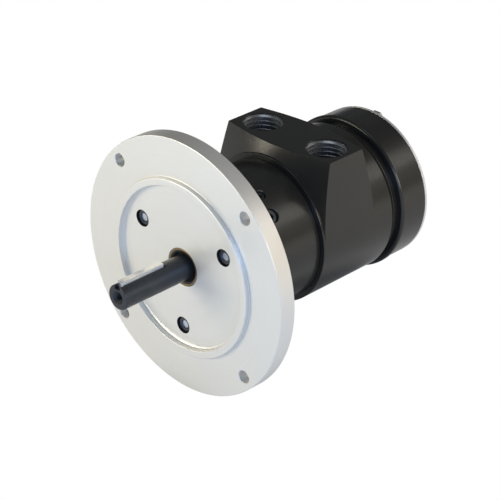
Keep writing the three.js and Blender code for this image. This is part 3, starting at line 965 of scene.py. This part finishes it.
def toward(look, vector, heading, low, high):
    """How far a vector goes along a heading, from 0 at low to 1 at high, with soft ends."""
    dot = look.nodes.new("ShaderNodeVectorMath")
    dot.operation = "DOT_PRODUCT"
    look.links.new(vector, dot.inputs[0])
    dot.inputs[1].default_value = heading
    ramp = look.nodes.new("ShaderNodeMapRange")
    ramp.interpolation_type = "SMOOTHSTEP"
    ramp.inputs["From Min"].default_value = low
    ramp.inputs["From Max"].default_value = high
    look.links.new(dot.outputs["Value"], ramp.inputs["Value"])
    return ramp.outputs["Result"]


def tint(look, factor, first, second):
    """A colour between two, each a colour or an output."""
    made = look.nodes.new("ShaderNodeMix")
    made.data_type = "RGBA"
    look.links.new(factor, made.inputs["Factor"])
    for socket, colour in ((made.inputs[6], first), (made.inputs[7], second)):
        if isinstance(colour, tuple):
            socket.default_value = (*colour, 1)
        else:
            look.links.new(colour, socket)
    return made.outputs[2]


def beside_shade(look, place):
    """How far a floor point is out of the painted shadow under the motor, from 0 to 1."""
    oval = look.nodes.new("ShaderNodeMapping")
    look.links.new(place, oval.inputs["Vector"])
    oval.inputs["Location"].default_value = (0, -SHADE.middle / SHADE.length, 0)
    oval.inputs["Scale"].default_value = (1 / SHADE.width, 1 / SHADE.length, 0)
    reach = look.nodes.new("ShaderNodeVectorMath")
    reach.operation = "LENGTH"
    look.links.new(oval.outputs[0], reach.inputs[0])
    ramp = look.nodes.new("ShaderNodeMapRange")
    ramp.interpolation_type = "SMOOTHSTEP"
    ramp.inputs["From Min"].default_value = 0.6
    ramp.inputs["From Max"].default_value = 1.2
    look.links.new(reach.outputs["Value"], ramp.inputs["Value"])
    return ramp.outputs["Result"]


def make_floor():
    """A wide white floor under the flange, cooler in front on the right and warmer far behind, with a
    painted shadow under the motor.
    """
    points = [on_circle(FLOOR.radius, 360 * i / FLOOR.sides) for i in range(FLOOR.sides)]
    made = new_object("floor", [(x, y, 0) for x, y in points], [list(range(FLOOR.sides))])
    shifted(made, z=-FLANGE.radius - FLOOR.drop)
    material = bpy.data.materials.new("floor_white")
    material.use_nodes = True
    tree = material.node_tree
    tree.nodes.remove(tree.nodes["Principled BSDF"])
    place = tree.nodes.new("ShaderNodeTexCoord").outputs["Object"]
    cool = toward(tree, place, (0.7, -0.7, 0), -0.05, 0.25)
    warm = toward(tree, place, (0.75, 0.65, 0), 0.15, 0.7)
    glow = tree.nodes.new("ShaderNodeEmission")
    lit = tint(tree, warm, tint(tree, cool, FLOOR_PLAIN, FLOOR_COOL), FLOOR_WARM)
    tree.links.new(tint(tree, beside_shade(tree, place), FLOOR_SHADE, lit), glow.inputs["Color"])
    camera_sees_white(tree, glow, tree.nodes["Material Output"])
    made.data.materials.append(material)


def make_world():
    """A dim room for reflections, warmer and brighter towards the right rear, with soft uneven patches."""
    world = bpy.data.worlds.new("studio")
    bpy.context.scene.world = world
    world.use_nodes = True
    tree = world.node_tree
    ray = tree.nodes.new("ShaderNodeTexCoord").outputs["Generated"]
    warm = toward(tree, ray, (0.75, 0.65, 0.1), 0.55, 0.95)
    patches = tree.nodes.new("ShaderNodeTexNoise")
    patches.inputs["Scale"].default_value = 3.2
    patches.inputs["Detail"].default_value = 1
    tree.links.new(ray, patches.inputs["Vector"])
    uneven = tree.nodes.new("ShaderNodeMapRange")
    uneven.inputs["From Min"].default_value = 0.38
    uneven.inputs["From Max"].default_value = 0.62
    tree.links.new(patches.outputs["Fac"], uneven.inputs["Value"])
    lit = tint(tree, uneven.outputs["Result"], ROOM_WARM_DARK, ROOM_WARM_LIGHT)
    dim = tint(tree, uneven.outputs["Result"], ROOM_DARK, ROOM_LIGHT)
    tree.links.new(tint(tree, warm, dim, lit), tree.nodes["Background"].inputs["Color"])
    camera_sees_white(tree, tree.nodes["Background"], tree.nodes["World Output"])


def direction(azimuth, elevation):
    """Where something stands, seen from the object. Azimuth 0 is in front of the shaft, 90 to the right."""
    a = math.radians(azimuth)
    e = math.radians(elevation)
    return Vector((math.sin(a) * math.cos(e), -math.cos(a) * math.cos(e), math.sin(e)))


def make_light(name, azimuth, elevation, distance, width, height, brightness, colour):
    """An area light that faces the object. Brightness is that of its surface, on the floor's scale."""
    lamp = bpy.data.lights.new(name, "AREA")
    lamp.shape = "RECTANGLE"
    lamp.size = width
    lamp.size_y = height
    lamp.energy = brightness * math.pi * width * height
    lamp.color = colour
    made = bpy.data.objects.new(name, lamp)
    bpy.context.scene.collection.objects.link(made)
    away = direction(azimuth, elevation)
    made.location = TARGET + away * distance
    made.rotation_mode = "QUATERNION"
    made.rotation_quaternion = (-away).to_track_quat("-Z", "Y")
    made.visible_camera = False


TARGET = Vector((-1.982, 60.0, -11.776)) * MM
CAMERA = SimpleNamespace(azimuth=44.65, elevation=28.768, roll=0.392, distance=1.122, lens=130.67)

FLOOR = SimpleNamespace(radius=30000.0, sides=64, drop=0.5)
FLOOR_PLAIN = (0.62, 0.62, 0.62)
FLOOR_COOL = (0.66, 0.78, 0.96)
FLOOR_WARM = (0.95, 0.88, 0.78)
FLOOR_SHADE = (0.16, 0.165, 0.18)
SHADE = SimpleNamespace(middle=0.095, width=0.085, length=0.1)  # metres, along the shaft axis
ROOM_DARK = (0.05, 0.053, 0.056)
ROOM_LIGHT = (0.16, 0.165, 0.17)
ROOM_WARM_DARK = (0.36, 0.33, 0.29)
ROOM_WARM_LIGHT = (0.85, 0.79, 0.68)

make_floor()
make_world()
make_light("key", -31, 10.6, 1.6, 0.85, 0.85, 8.6, (1.0, 0.92, 0.72))
make_light("window", 138, 33, 2.0, 0.8, 0.62, 1.5, (1.0, 0.95, 0.87))
make_light("warm_side", 98, 21, 1.6, 0.4, 0.5, 13, (1.0, 0.82, 0.54))
make_light("cool_side", 54, 20, 1.5, 0.65, 0.5, 7.0, (0.42, 0.62, 1.0))
make_light("overhead", 0, 88, 1.2, 0.5, 0.5, 0.8, (0.9, 0.95, 1.0))


# ---- Camera ----


def make_camera():
    lens = bpy.data.cameras.new("camera")
    lens.sensor_width = 36
    lens.lens = CAMERA.lens
    lens.clip_end = 100
    made = bpy.data.objects.new("camera", lens)
    bpy.context.scene.collection.objects.link(made)
    away = direction(CAMERA.azimuth, CAMERA.elevation)
    made.location = TARGET + away * CAMERA.distance
    made.rotation_mode = "QUATERNION"
    roll = Matrix.Rotation(math.radians(CAMERA.roll), 4, "Z").to_quaternion()
    made.rotation_quaternion = (-away).to_track_quat("-Z", "Y") @ roll
    bpy.context.scene.camera = made


make_camera()
bpy.context.scene.view_settings.view_transform = "Standard"

bpy.context.view_layer.update()
